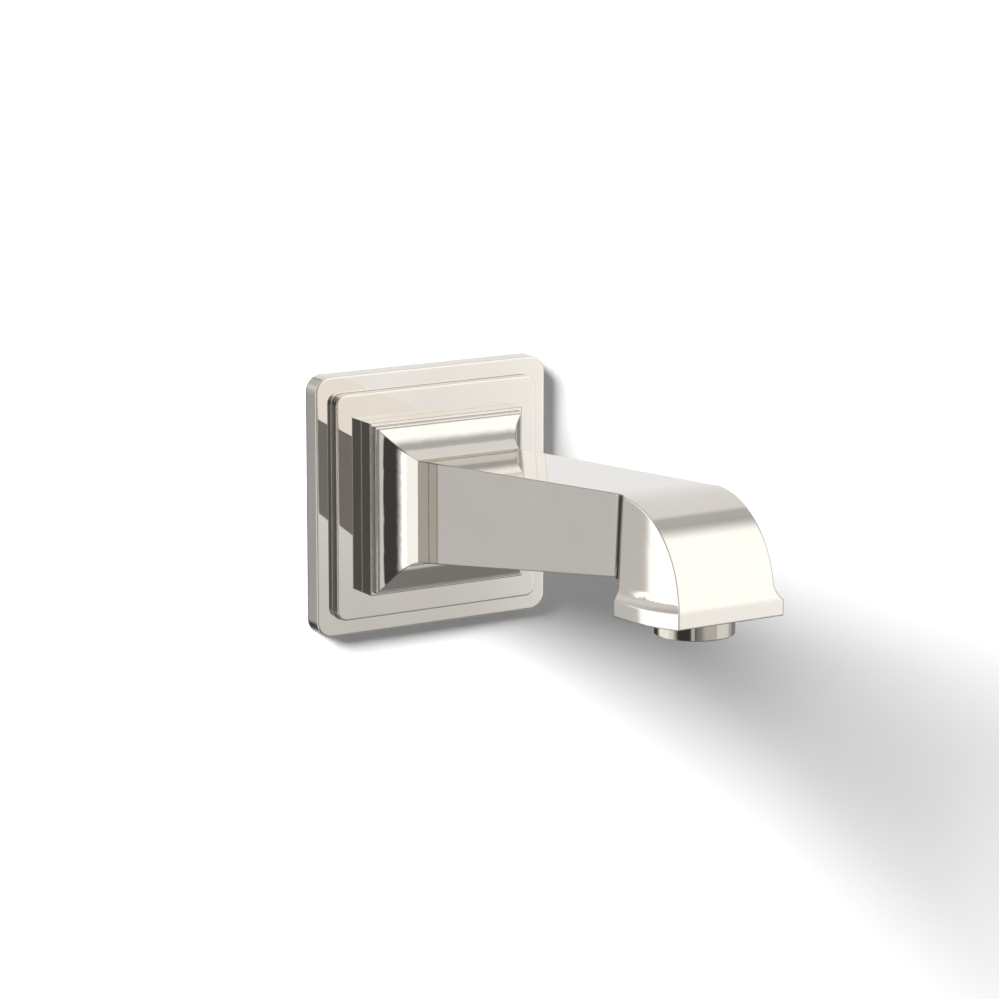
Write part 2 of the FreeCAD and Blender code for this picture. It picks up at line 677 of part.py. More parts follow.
def outletInsert():
    """Guide sleeve and valve seat, with the spring cup held in the port by three ribs."""
    body = newBody("outlet_insert")
    shell = newSketch(body, "XZ_Plane", ("0", "0", "outletReach"))
    polygon(shell, [("guideRadius", "insertBottom"), ("insertRadius", "insertBottom"),
                    ("insertRadius", "insertTop"), ("seatLipRadius", "insertTop"),
                    ("seatLipRadius", "seatLipTop"), ("portRadius", "seatLipTop"),
                    ("portRadius", "seatUnder"), ("guideRadius", "seatUnder")])
    turn(body, shell, "V_Axis")
    rib = newSketch(body, "XY_Plane", ("0", "-outletReach", "ribBottom"))
    polygon(rib, [("0", "-ribHalf"), ("ribOuter", "-ribHalf"), ("ribOuter", "ribHalf"), ("0", "ribHalf")])
    blade = pad(body, rib, "Dims.insertTop - Dims.ribBottom")
    polar(body, blade, rib, 3)
    cup = newSketch(body, "XY_Plane", ("0", "-outletReach", "cupBottom"))
    circle(cup, "cupRadius")
    pad(body, cup, "Dims.insertTop - Dims.cupBottom")
    well = newSketch(body, "XY_Plane", ("0", "-outletReach", "cupFloor"))
    circle(well, "cupBore")
    pocket(body, well, "Dims.insertTop - Dims.cupFloor", reverse=True)
    hole = newSketch(body, "XY_Plane", ("0", "-outletReach", "cupBottom"))
    circle(hole, "bushRadius")
    pocket(body, hole, "Dims.cupFloor - Dims.cupBottom", reverse=True)
    # the cup and ribs are faced off below the seat so the retainer can come down past them
    face = newSketch(body, "XY_Plane", ("0", "-outletReach", "cupTop"))
    circle(face, "portRadius")
    pocket(body, face, "Dims.insertTop", reverse=True)
    return body


def strainer():
    """Plastic disc pierced by rings of round holes."""
    body = tube("flow_straightener", "0", "strainerRadius", "strainerBottom", "strainerTop")
    for count, radius in ((1, 0.0), (6, 3.0), (12, 6.0), (18, 9.0)):
        sketch = newSketch(body, "XY_Plane", ("0", "-outletReach", "strainerBottom"))
        middle = FreeCAD.Vector(radius, 0, 0)
        geo = sketch.addGeometry(Part.Circle(middle, FreeCAD.Vector(0, 0, 1), size("strainerHole")), False)
        index = sketch.addConstraint(Sketcher.Constraint("Radius", geo, size("strainerHole")))
        sketch.setExpression("Constraints[%d]" % index, "Dims.strainerHole")
        hole = pocket(body, sketch, "Dims.strainerTop - Dims.strainerBottom", reverse=True)
        if count > 1:
            polar(body, hole, sketch, count)
    return body


def spider():
    """Hub and slim rim joined by three arms; it ties the ring to the stem."""
    body = newBody("diverter_spider")
    sketch = newSketch(body, "XY_Plane", ("0", "-outletReach", "spiderBottom"))
    circle(sketch, "spiderRim")
    circle(sketch, "spiderRimInner")
    pad(body, sketch, "Dims.spiderTop - Dims.spiderBottom")
    arm = newSketch(body, "XY_Plane", ("0", "-outletReach", "spiderBottom"))
    polygon(arm, [("0", "-spiderArmHalf"), ("spiderRimInner", "-spiderArmHalf"),
                  ("spiderRimInner", "spiderArmHalf"), ("0", "spiderArmHalf")])
    blade = pad(body, arm, "Dims.spiderTop - Dims.spiderBottom")
    polar(body, blade, arm, 3)
    hub = newSketch(body, "XY_Plane", ("0", "-outletReach", "spiderBottom"))
    circle(hub, "spiderHub")
    pad(body, hub, "Dims.spiderTop - Dims.spiderBottom")
    bore = newSketch(body, "XY_Plane", ("0", "-outletReach", "spiderBottom"))
    circle(bore, "stemRadius")
    pocket(body, bore, "Dims.spiderTop - Dims.spiderBottom", reverse=True)
    return body


def pullRing():
    body = newBody("diverter_ring")
    sketch = newSketch(body, "XZ_Plane", ("0", "0", "outletReach"))
    polygon(sketch, [("ringLipBore", "ringBottom"), ("ringRadius", "ringBottom"),
                     ("ringRadius", "ringGrooveLow"), ("ringGrooveRadius", "ringGrooveLow"),
                     ("ringGrooveRadius", "ringGrooveHigh"), ("ringRadius", "ringGrooveHigh"),
                     ("ringRadius", "ringTop"), ("ringBore", "ringTop"), ("ringBore", "ringLipTop"),
                     ("ringLipBore", "ringLipTop")])
    turn(body, sketch, "V_Axis")

    def bottomEdge(edge):
        box = edge.BoundBox
        return box.ZMax < size("ringBottom") + 0.01
    roundEdges(body, "ringEdge", bottomEdge)
    return body


def stem():
    body = newBody("diverter_stem")
    sketch = newSketch(body, "XZ_Plane", ("0", "0", "outletReach"))
    polygon(sketch, [("0", "stemHeadBottom"), ("stemHead", "stemHeadBottom"), ("stemHead", "spiderBottom"),
                     ("stemRadius", "spiderBottom"), ("stemRadius", "stemTop"), ("0", "stemTop")])
    turn(body, sketch, "V_Axis")
    return body


def spring():
    body = newBody("return_spring")
    sketch = newSketch(body, "XZ_Plane", ("0", "0", "outletReach"))
    bottom = size("bushFlangeTop") + size("springWire")
    middle = FreeCAD.Vector(size("springMean"), bottom, 0)
    geo = sketch.addGeometry(Part.Circle(middle, FreeCAD.Vector(0, 0, 1), size("springWire")), False)
    index = sketch.addConstraint(Sketcher.Constraint("Radius", geo, size("springWire")))
    sketch.setExpression("Constraints[%d]" % index, "Dims.springWire")
    coil = body.newObject("PartDesign::AdditiveHelix", "springCoil")
    coil.Profile = sketch
    coil.ReferenceAxis = (sketch, ["V_Axis"])
    coil.Mode = 0
    coil.setExpression("Pitch", "Dims.springPitch")
    coil.setExpression("Height", "Dims.retainerBottom - Dims.bushFlangeTop - 2 * Dims.springWire")
    sketch.Visibility = False
    doc.recompute()
    return body


def stemNut():
    body = newBody("stem_nut")
    sketch = newSketch(body, "XY_Plane", ("0", "-outletReach", "plugTop"))
    radius = size("nutRadius") / math.cos(math.radians(30))
    corners = []
    for i in range(6):
        angle = math.radians(60 * i + 30)
        corners.append(FreeCAD.Vector(radius * math.cos(angle), radius * math.sin(angle), 0))
    outline(sketch, [line(corners[i], corners[(i + 1) % 6]) for i in range(6)])
    sketch.addGeometry(Part.Circle(FreeCAD.Vector(), FreeCAD.Vector(0, 0, 1), size("stemRadius")), False)
    pad(body, sketch, "Dims.nutTop - Dims.plugTop")
    return body


nodes = [
    spout(),
    escutcheon(),
    squareFrame("escutcheon_gasket", "foamHalf", "foamInnerHalf", "0", "Dims.foamReach"),
    squareFrame("collar_seal", "sealHalf", "sealInnerHalf", "raisedReach", "Dims.sealTopReach - Dims.raisedReach"),
    inletAdapter(),
    adapterRings(),
    setScrew(),
    outletInsert(),
    tube("seat_gasket", "gasketInner", "gasketOuter", "insertTop", "gasketTop"),
    turned("stem_bush", [("bushBore", "cupBottom"), ("bushRadius", "cupBottom"), ("bushRadius", "cupFloor"),
                         ("bushFlange", "cupFloor"), ("bushFlange", "bushFlangeTop"),
                         ("bushBore", "bushFlangeTop")]),
    spring(),
    pullRing(),
    roundSeal("ring_o_ring", ("ringSealCentre", "ringSealHeight"), "ringSealSection", "V_Axis"),
    strainer(),
    tube("straightener_washer", "washerInner", "strainerRadius", "strainerTop", "washerTop"),
    spider(),
    stem(),
    tube("seal_retainer", "stemRadius", "retainerRadius", "retainerBottom", "sealBottom"),
    tube("diverter_seal", "stemRadius", "plugRadius", "sealBottom", "sealTop"),
    tube("diverter_plug", "stemRadius", "plugRadius", "sealTop", "plugTop"),
    stemNut(),
]

# flat washer at the bottom of the adapter's thread
washer = newBody("inlet_washer")
washerSketch = newSketch(washer, "XZ_Plane", ("0", "0", "threadReach"))
circle(washerSketch, "washerSeatRadius")
circle(washerSketch, "boreRadius")
pad(washer, washerSketch, "Dims.washerSeatReach - Dims.threadReach")
nodes.append(washer)

# ---------------------------------------------------------------- checks and export

doc.recompute()
for thing in doc.Objects:
    for state in thing.State:
        if state in ("Invalid", "Error"):
            raise RuntimeError("%s is %s" % (thing.Label, state))

os.makedirs("parts", exist_ok=True)
for node in nodes:
    shape = node.Shape
    if shape.isNull() or not shape.isValid():
        raise RuntimeError(node.Label + " has no valid shape")
    shape.exportStep("parts/%s.step" % node.Label)
    box = shape.BoundBox
    print("%-20s solids %d  volume %9.1f  x %.1f..%.1f  y %.1f..%.1f  z %.1f..%.1f" % (
        node.Label, len(shape.Solids), shape.Volume,
        box.XMin, box.XMax, box.YMin, box.YMax, box.ZMin, box.ZMax))
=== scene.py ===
import bpy
import math
from mathutils import Matrix, Vector


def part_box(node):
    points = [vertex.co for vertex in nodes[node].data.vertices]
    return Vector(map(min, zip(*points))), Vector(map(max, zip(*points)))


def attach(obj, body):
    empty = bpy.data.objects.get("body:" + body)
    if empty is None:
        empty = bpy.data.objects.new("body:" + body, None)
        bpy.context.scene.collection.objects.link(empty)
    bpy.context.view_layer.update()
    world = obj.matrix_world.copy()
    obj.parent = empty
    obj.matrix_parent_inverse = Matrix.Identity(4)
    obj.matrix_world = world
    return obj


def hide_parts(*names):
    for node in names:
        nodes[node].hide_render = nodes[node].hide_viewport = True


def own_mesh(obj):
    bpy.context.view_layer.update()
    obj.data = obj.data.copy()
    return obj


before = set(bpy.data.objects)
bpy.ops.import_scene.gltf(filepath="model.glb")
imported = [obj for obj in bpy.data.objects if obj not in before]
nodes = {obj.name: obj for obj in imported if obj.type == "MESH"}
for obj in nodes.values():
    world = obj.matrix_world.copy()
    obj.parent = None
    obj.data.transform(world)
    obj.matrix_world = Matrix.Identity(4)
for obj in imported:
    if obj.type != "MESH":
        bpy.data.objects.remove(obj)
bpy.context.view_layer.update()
mm = 0.001
print("frame loaded:", len(nodes), "nodes")


def hexColour(code, alpha=1.0):
    # sRGB hex to the linear values that Blender's sockets take
    parts = [int(code[i:i + 2], 16) / 255 for i in (0, 2, 4)]
    line = [p / 12.92 if p <= 0.04045 else ((p + 0.055) / 1.055) ** 2.4 for p in parts]
    return (*line, alpha)


def addNode(tree, kind, links=None, inputs=None, stops=None, **settings):
    # links: input name -> the socket that feeds it; inputs: input name -> its value
    # a number in place of a name picks the input by its place; stops: a colour ramp's places and hex colours
    node = tree.nodes.new(kind)
    for name, value in settings.items():
        setattr(node, name, value)
    for name, value in (inputs or {}).items():
        node.inputs[name].default_value = value
    for name, socket in (links or {}).items():
        tree.links.new(socket, node.inputs[name])
    if stops:
        for element, (place, colour) in zip(node.color_ramp.elements, stops):
            element.position = place
            element.color = hexColour(colour)
    return node


def newMaterial(name):
    material = bpy.data.materials.new(name)
    material.use_nodes = True
    tree = material.node_tree
    tree.nodes.clear()
    return material, tree


noiseSpan = (0.3, 0.7)        # a noise texture's values lie almost wholly between these

nickel = {
    "bright": "d4cfc8",       # nickel is a warm white metal
    "deep": "d1ccc4",
    "cloudSize": 26 * mm,     # slow change left by the polishing wheel
    "waviness": 0.02,
    "graining": 0.35 * mm,    # fine wheel lines, drawn wider than they are so that they show
    "grainStretch": 0.06,
    "grainDepth": 0.012,
    "roughness": (0.03, 0.05),
    "edge": 0.8 * mm,         # radius that catches the light along each edge
    "paintedEdgeShade": 0.2,         # share of the colour left in the thin painted dark line along each edge, painted shade standing in for the dark reflection on a rounded edge
    "edgeBend": (0.8, 0.94),  # how square to the face the rounding still is where that line starts and ends
}


def polishedNickel():
    # polished nickel plate: a clear warm mirror, a little soft from the wheel, with rounded edges and a thin
    # line of painted shade along each edge
    material, tree = newMaterial("polishedNickelPlate")
    place = addNode(tree, "ShaderNodeTexCoord").outputs["Object"]
    cloud = addNode(tree, "ShaderNodeTexNoise", {"Vector": place},
                    {"Scale": 1 / nickel["cloudSize"], "Detail": 3, "Roughness": 0.5})
    lines = addNode(tree, "ShaderNodeMapping", {"Vector": place}, {"Scale": (1, nickel["grainStretch"], 1)})
    grain = addNode(tree, "ShaderNodeTexNoise", {"Vector": lines.outputs["Vector"]},
                    {"Scale": 1 / nickel["graining"], "Detail": 2})
    colour = addNode(tree, "ShaderNodeValToRGB", {"Fac": cloud.outputs["Fac"]},
                     stops=[(noiseSpan[0], nickel["deep"]), (noiseSpan[1], nickel["bright"])])
    dull = addNode(tree, "ShaderNodeMapRange", {"Value": grain.outputs["Fac"]},
                   {"From Min": noiseSpan[0], "From Max": noiseSpan[1],
                    "To Min": nickel["roughness"][0], "To Max": nickel["roughness"][1]})
    rounded = addNode(tree, "ShaderNodeBevel", inputs={"Radius": nickel["edge"]}, samples=6)
    facing = addNode(tree, "ShaderNodeNewGeometry").outputs["True Normal"]
    bend = addNode(tree, "ShaderNodeVectorMath", {0: rounded.outputs["Normal"], 1: facing},
                   operation="DOT_PRODUCT")
    # painted shade: the colour darkens where the rounded normal turns from the face, a dark line on each edge
    # standing in for its dark reflection
    shade = addNode(tree, "ShaderNodeMapRange", {"Value": bend.outputs["Value"]},
                    {"From Min": nickel["edgeBend"][0], "From Max": nickel["edgeBend"][1],
                     "To Min": nickel["paintedEdgeShade"], "To Max": 1.0}, interpolation_type="SMOOTHSTEP")
    paintedEdgeColour = addNode(tree, "ShaderNodeVectorMath", {0: colour.outputs["Color"], "Scale": shade.outputs["Result"]},
                   operation="SCALE")
    wave = addNode(tree, "ShaderNodeBump",
                   {"Height": cloud.outputs["Fac"], "Normal": rounded.outputs["Normal"]},
                   {"Strength": nickel["waviness"], "Distance": 1 * mm})
    fine = addNode(tree, "ShaderNodeBump",
                   {"Height": grain.outputs["Fac"], "Normal": wave.outputs["Normal"]},
                   {"Strength": nickel["grainDepth"], "Distance": 0.05 * mm})
    shader = addNode(tree, "ShaderNodeBsdfPrincipled",
                     {"Base Color": paintedEdgeColour.outputs["Vector"], "Roughness": dull.outputs["Result"],
                      "Normal": fine.outputs["Normal"]},
                     {"Metallic": 1.0})
    addNode(tree, "ShaderNodeOutputMaterial", {"Surface": shader.outputs["BSDF"]})
    return material


turned = {
    "ringStep": 0.32 * mm,    # feed of the lathe tool, drawn about twice as coarse so that the rings show
    "ringDepth": 0.03 * mm,
    "patch": 9 * mm,          # slow change of colour between handled and plain areas
}


def turnedMetal(name, bright, deep, roughness, bump, upright=True):
    # a turned part: fine rings left by the tool round its own axis, upright or level towards the wall
    material, tree = newMaterial(name)
    place = addNode(tree, "ShaderNodeTexCoord").outputs["Object"]
    rings = addNode(tree, "ShaderNodeTexWave", {"Vector": place},
                    {"Scale": math.pi / (10 * turned["ringStep"]), "Distortion": 0.6,
                     "Detail": 2, "Detail Scale": 1.5},
                    wave_type="BANDS", bands_direction="Z" if upright else "Y")
    cloud = addNode(tree, "ShaderNodeTexNoise", {"Vector": place}, {"Scale": 1 / turned["patch"], "Detail": 4})
    colour = addNode(tree, "ShaderNodeValToRGB", {"Fac": cloud.outputs["Fac"]},
                     stops=[(noiseSpan[0], deep), (noiseSpan[1], bright)])
    dull = addNode(tree, "ShaderNodeMapRange", {"Value": cloud.outputs["Fac"]},
                   {"From Min": noiseSpan[0], "From Max": noiseSpan[1],
                    "To Min": roughness[0], "To Max": roughness[1]})
    lift = addNode(tree, "ShaderNodeBump", {"Height": rings.outputs["Fac"]},
                   {"Strength": bump, "Distance": turned["ringDepth"]})
    shader = addNode(tree, "ShaderNodeBsdfPrincipled",
                     {"Base Color": colour.outputs["Color"], "Roughness": dull.outputs["Result"],
                      "Normal": lift.outputs["Normal"]},
                     {"Metallic": 1.0})
    addNode(tree, "ShaderNodeOutputMaterial", {"Surface": shader.outputs["BSDF"]})
    return material


soft = {
    "cloudSpecks": 6,         # a slow change spans this many specks
    "span": (0.32, 0.68),     # a little steeper than the noise, so the two colours part more
    "speckDepth": 0.1 * mm,
}


def softGoods(name, bright, deep, roughness, speck, bump, sheen=0.0):
    # rubber, foam, fibre and acetal: no metal, a surface specked by the material's own grain
    material, tree = newMaterial(name)
    place = addNode(tree, "ShaderNodeTexCoord").outputs["Object"]
    cells = addNode(tree, "ShaderNodeTexVoronoi", {"Vector": place}, {"Scale": 1 / speck})
    cloud = addNode(tree, "ShaderNodeTexNoise", {"Vector": place},
                    {"Scale": 1 / (soft["cloudSpecks"] * speck), "Detail": 5})
    colour = addNode(tree, "ShaderNodeValToRGB", {"Fac": cloud.outputs["Fac"]},
                     stops=[(soft["span"][0], deep), (soft["span"][1], bright)])
    dull = addNode(tree, "ShaderNodeMapRange", {"Value": cloud.outputs["Fac"]},
                   {"From Min": noiseSpan[0], "From Max": noiseSpan[1],
                    "To Min": roughness[0], "To Max": roughness[1]})
    lift = addNode(tree, "ShaderNodeBump", {"Height": cells.outputs["Distance"]},
                   {"Strength": bump, "Distance": soft["speckDepth"]})
    shader = addNode(tree, "ShaderNodeBsdfPrincipled",
                     {"Base Color": colour.outputs["Color"], "Roughness": dull.outputs["Result"],
                      "Normal": lift.outputs["Normal"]},
                     {"Sheen Weight": sheen})
    addNode(tree, "ShaderNodeOutputMaterial", {"Surface": shader.outputs["BSDF"]})
    return material


nickelPlate = polishedNickel()
# nickel over turned brass, duller than the polished body
ringNickel = turnedMetal("satinNickelRing", "bab5ab", "b3ada3", (0.07, 0.11), 0.05)
# yellow brass with tool rings and slight browning, turned upright or about the inlet
machinedBrass = turnedMetal("machinedBrass", "d9b45f", "bf9244", (0.2, 0.34), 0.3)
axialBrass = turnedMetal("machinedBrassAxial", "d9b45f", "bf9244", (0.2, 0.34), 0.3, upright=False)
# grey drawn wire
springSteel = turnedMetal("drawnStainlessWire", "c4c4c4", "a9a8a6", (0.16, 0.26), 0.15)
# black with a dull bloom
sealRubber = softGoods("mouldedNitrileRubber", "232221", "161616", (0.45, 0.62), 0.25 * mm, 0.15)
# grey with open cells on its cut face
closedFoam = softGoods("closedCellFoam", "47484a", "333436", (0.8, 0.95), 0.6 * mm, 0.5, sheen=0.2)
# brick red pressed fibre
redFibre = softGoods("vulcanisedFibre", "7d3a2c", "5f2a20", (0.5, 0.7), 0.4 * mm, 0.3)
# milky white plastic
acetal = softGoods("mouldedAcetal", "e9e8e2", "dddbd3", (0.32, 0.42), 0.3 * mm, 0.06)

finishes = {
    nickelPlate: ["spout_body", "escutcheon"],
    ringNickel: ["diverter_ring"],
    machinedBrass: ["outlet_insert", "seal_retainer", "diverter_plug", "stem_nut", "diverter_spider"],
    axialBrass: ["inlet_adapter"],
    springSteel: ["set_screw", "diverter_stem", "return_spring"],
    sealRubber: ["collar_seal", "adapter_o_rings", "ring_o_ring", "straightener_washer", "diverter_seal"],
    closedFoam: ["escutcheon_gasket"],
    redFibre: ["inlet_washer", "seat_gasket"],
    acetal: ["stem_bush", "flow_straightener"],
}
for material, names in finishes.items():
    for name in names:
        nodes[name].data.materials.clear()
        nodes[name].data.materials.append(material)
print("finishes set")


spring = {
    "coilRadius": 2.72 * mm,
    "wireRadius": 0.32 * mm,
    "turns": 6.0,
    "pointsPerTurn": 40,
    "wireSides": 12,
}


def returnSpring():
    # one coil in place of the return spring, which shortens as the ring is pulled; made here at one fixed
    # length
    low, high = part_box("return_spring")
    centre = (low + high) / 2
    tree = bpy.data.node_groups.new("coilSpring", "GeometryNodeTree")
    tree.interface.new_socket("Geometry", in_out="OUTPUT", socket_type="NodeSocketGeometry")
    sizes = {}
    for label, kind in (("Coil Radius", "Float"), ("Wire Radius", "Float"), ("Height", "Float"),
                        ("Turns", "Float"), ("Centre", "Vector"), ("Metal", "Material")):
        socket = tree.interface.new_socket(label, in_out="INPUT", socket_type="NodeSocket" + kind)
        sizes[label] = socket.identifier
    given = addNode(tree, "NodeGroupInput")
    spiral = addNode(tree, "GeometryNodeCurveSpiral",
                     {"Rotations": given.outputs["Turns"], "Start Radius": given.outputs["Coil Radius"],
                      "End Radius": given.outputs["Coil Radius"], "Height": given.outputs["Height"]},
                     {"Resolution": spring["pointsPerTurn"]})
    wire = addNode(tree, "GeometryNodeCurvePrimitiveCircle", {"Radius": given.outputs["Wire Radius"]},
                   {"Resolution": spring["wireSides"]})
    tube = addNode(tree, "GeometryNodeCurveToMesh",
                   {"Curve": spiral.outputs["Curve"], "Profile Curve": wire.outputs["Curve"]},
                   {"Fill Caps": True})
    placed = addNode(tree, "GeometryNodeTransform",
                     {"Geometry": tube.outputs["Mesh"], "Translation": given.outputs["Centre"]})
    smooth = addNode(tree, "GeometryNodeSetShadeSmooth", {"Geometry": placed.outputs["Geometry"]})
    real = addNode(tree, "GeometryNodeRealizeInstances", {"Geometry": smooth.outputs["Geometry"]})
    coated = addNode(tree, "GeometryNodeSetMaterial",
                     {"Geometry": real.outputs["Geometry"], "Material": given.outputs["Metal"]})
    addNode(tree, "NodeGroupOutput", {"Geometry": coated.outputs["Geometry"]})

    maker = bpy.data.objects.new("coilMaker", bpy.data.meshes.new("coilMaker"))
    bpy.context.scene.collection.objects.link(maker)
    modifier = maker.modifiers.new("coil", "NODES")
    modifier.node_group = tree
    values = {
        "Coil Radius": spring["coilRadius"],
        "Wire Radius": spring["wireRadius"],
        "Height": high.z - low.z - 2 * spring["wireRadius"],
        "Turns": spring["turns"],
        "Centre": (centre.x, centre.y, low.z + spring["wireRadius"]),
        "Metal": springSteel,
    }
    for label, value in values.items():
        modifier[sizes[label]] = value
    mesh = bpy.data.meshes.new_from_object(maker.evaluated_get(bpy.context.evaluated_depsgraph_get()))
    bpy.data.objects.remove(maker)
    mesh.name = "coil_spring"
    coil = bpy.data.objects.new("coil_spring", mesh)
    bpy.context.scene.collection.objects.link(coil)
    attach(coil, "spout")
    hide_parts("return_spring")
    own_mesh(coil)


returnSpring()
print("spring made")


room = {
    "wallReach": 3.0,         # half width of the wall, in metres
    "opening": 41 * mm,       # half width of the hole behind the plate, where the pipe comes through
    "gap": 0.4 * mm,          # how far the wall stands behind the part's back
    "floor": -1.1,            # height, in metres
    "wallColour": "f7f7f7",
    "floorColour": "f0efed",
    "rollerGrain": 1.5 * mm,
}


def paleSurface(name, code, openBack):
    # matt emulsion paint: even white with a trace of roller texture
    material, tree = newMaterial(name)
    place = addNode(tree, "ShaderNodeTexCoord").outputs["Object"]
    stipple = addNode(tree, "ShaderNodeTexNoise", {"Vector": place},
                      {"Scale": 1 / room["rollerGrain"], "Detail": 2})
    lift = addNode(tree, "ShaderNodeBump", {"Height": stipple.outputs["Fac"]},
                   {"Strength": 0.02, "Distance": 0.1 * mm})
    matt = addNode(tree, "ShaderNodeBsdfDiffuse", {"Normal": lift.outputs["Normal"]},
                   {"Color": hexColour(code)})
    paint = matt.outputs["BSDF"]
    if openBack:   # seen from behind, the wall is left out so that the part shows
        side = addNode(tree, "ShaderNodeNewGeometry").outputs["Backfacing"]
        clear = addNode(tree, "ShaderNodeBsdfTransparent").outputs["BSDF"]
        paint = addNode(tree, "ShaderNodeMixShader", {"Fac": side, 1: paint, 2: clear}).outputs["Shader"]
    addNode(tree, "ShaderNodeOutputMaterial", {"Surface": paint})
    return material


def sheetMesh(name, points, faces, material):
    mesh = bpy.data.meshes.new(name)
    mesh.from_pydata(points, [], faces)
    mesh.materials.append(material)
    made = bpy.data.objects.new(name, mesh)
    bpy.context.scene.collection.objects.link(made)
    made.visible_glossy = False   # the metal reflects the studio's light panels, not the set
    return made


def buildRoom():
    big, hole, back = room["wallReach"], room["opening"], room["gap"]
    outer = [(-big, back, -big), (big, back, -big), (big, back, big), (-big, back, big)]
    inner = [(-hole, back, -hole), (hole, back, -hole), (hole, back, hole), (-hole, back, hole)]
    faces = [(i, (i + 1) % 4, 4 + (i + 1) % 4, 4 + i) for i in range(4)]
    wallPaint = paleSurface("mattWallPaint", room["wallColour"], openBack=True)
    sheetMesh("wall", outer + inner, faces, wallPaint)
    low = room["floor"]
    ground = [(-big, -2 * big, low), (big, -2 * big, low), (big, back, low), (-big, back, low)]
    floorPaint = paleSurface("mattFloorPaint", room["floorColour"], openBack=False)
    floor = sheetMesh("floor", ground, [(0, 1, 2, 3)], floorPaint)
    floor.visible_diffuse = False   # keeps the wall's shadow deep


buildRoom()

keyLight = {
    "direction": (-1.65, -1.0, 1.1),   # from the upper left, so shadows fall to the lower right
    "distance": 4.0,          # metres
    "size": 1.6,
    "power": 430.0,           # watts
}


def buildKey():
    data = bpy.data.lights.new("keySoftbox", "AREA")
    data.shape = "DISK"
    data.size = keyLight["size"]
    data.energy = keyLight["power"]
    lamp = bpy.data.objects.new("keySoftbox", data)
    bpy.context.scene.collection.objects.link(lamp)
    way = Vector(keyLight["direction"]).normalized()
    lamp.location = way * keyLight["distance"]
    lamp.rotation_mode = "QUATERNION"
    lamp.rotation_quaternion = way.to_track_quat("Z", "Y")
    lamp.visible_camera = False
    lamp.visible_glossy = False


buildKey()

brightWall = {
    "left": -0.6,             # the lit stretch of wall to the left of the plate, in metres
    "right": -0.133,
    "fade": 0.003,            # width of its soft right edge
    "half": 0.35,             # half its height
    "reach": 2 * mm,          # how far it stands off the wall
    "strength": 1.75,
}


def buildBrightWall():
    # only the metal sees it: the strong light that falls on the wall beyond the plate
    material, tree = newMaterial("litWallStretch")
    where = addNode(tree, "ShaderNodeTexCoord").outputs["Object"]
    place = addNode(tree, "ShaderNodeSeparateXYZ", {"Vector": where})
    end, fade = brightWall["right"], brightWall["fade"]
    edge = addNode(tree, "ShaderNodeMapRange", {"Value": place.outputs["X"]},
                   {"From Min": end - fade, "From Max": end, "To Min": 1.0, "To Max": 0.0},
                   interpolation_type="SMOOTHSTEP")
    glow = addNode(tree, "ShaderNodeEmission", inputs={"Strength": brightWall["strength"]})
    clear = addNode(tree, "ShaderNodeBsdfTransparent")
    mixed = addNode(tree, "ShaderNodeMixShader",
                    {"Fac": edge.outputs["Result"], 1: clear.outputs["BSDF"], 2: glow.outputs["Emission"]})
    addNode(tree, "ShaderNodeOutputMaterial", {"Surface": mixed.outputs["Shader"]})
    left, half, y = brightWall["left"], brightWall["half"], -brightWall["reach"]
    corners = [(left, y, -half), (end, y, -half), (end, y, half), (left, y, half)]
    card = sheetMesh("brightWall", corners, [(0, 1, 2, 3)], material)
    card.visible_glossy = True
    card.visible_camera = card.visible_diffuse = card.visible_shadow = card.visible_transmission = False


buildBrightWall()

# Light panels round the studio, seen only in the metal's reflections. Azimuth 0 is straight in front of the
# part and 90 to its right; low and high are heights above the horizon. Each side gives where the panel ends
# and how wide its soft edge is, in degrees.
panels = {
    "frontHaze": {"left": (-28, 8), "right": (84, 36), "low": (-30, 10), "high": (74, 16), "strength": 0.3},
    "frontLow": {"left": (-10, 20), "right": (83, 32), "low": (-26, 14), "high": (68, 12), "strength": 0.45},
    "frontBounce": {"left": (32, 4), "right": (80, 32), "low": (-21, 6), "high": (-10, 6), "strength": 0.5},
    "frontMain": {"left": (-2, 18), "right": (81, 34), "low": (-12, 4), "high": (60, 12), "strength": 0.45},
    "frontTop": {"left": (0, 24), "right": (78, 34), "low": (-1, 10), "high": (58, 12), "strength": 0.38},
    # fills only what is mirrored at the arm's root
    "nearFront": {"left": (-42, 3), "right": (-32, 3), "low": (-30, 10), "high": (0, 10), "strength": 0.8},
    "overRight": {"left": (86, 34), "right": (177, 14), "low": (-5, 10), "high": (96, 8), "strength": 0.57},
    "rearRight": {"left": (115, 10), "right": (175, 14), "low": (-1, 10), "high": (85, 10), "strength": 0.36},
    "rearLow": {"left": (122, 14), "right": (179, 10), "low": (-62, 20), "high": (-4, 8), "strength": 0.42},
    "leftMain": {"left": (-134, 8), "right": (-88, 22), "low": (-45, 20), "high": (62, 20), "strength": 1.36},
    "leftRear": {"left": (-153, 12), "right": (-134, 8), "low": (-50, 20), "high": (62, 20), "strength": 0.66},
    "leftBack": {"left": (-182, 2), "right": (-150, 14), "low": (4, 12), "high": (62, 20), "strength": 0.6},
    "leftTop": {"left": (-182, 2), "right": (-60, 30), "low": (52, 14), "high": (96, 6), "strength": 0.6},
    "sideRight": {"left": (84, 10), "right": (150, 20), "low": (-30, 10), "high": (-4, 10), "strength": 0.3},
    "floorGlow": {"left": (-182, 2), "right": (182, 2), "low": (-96, 6), "high": (-34, 22), "strength": 0.2},
    "ceiling": {"left": (-182, 2), "right": (60, 60), "low": (68, 14), "high": (96, 6), "strength": 0.45},
}
studio = {
    "dark": 0.07,             # what the metal mirrors where there is no panel
    "ambient": 0.25,
    "backdrop": "fbfbfb",
}


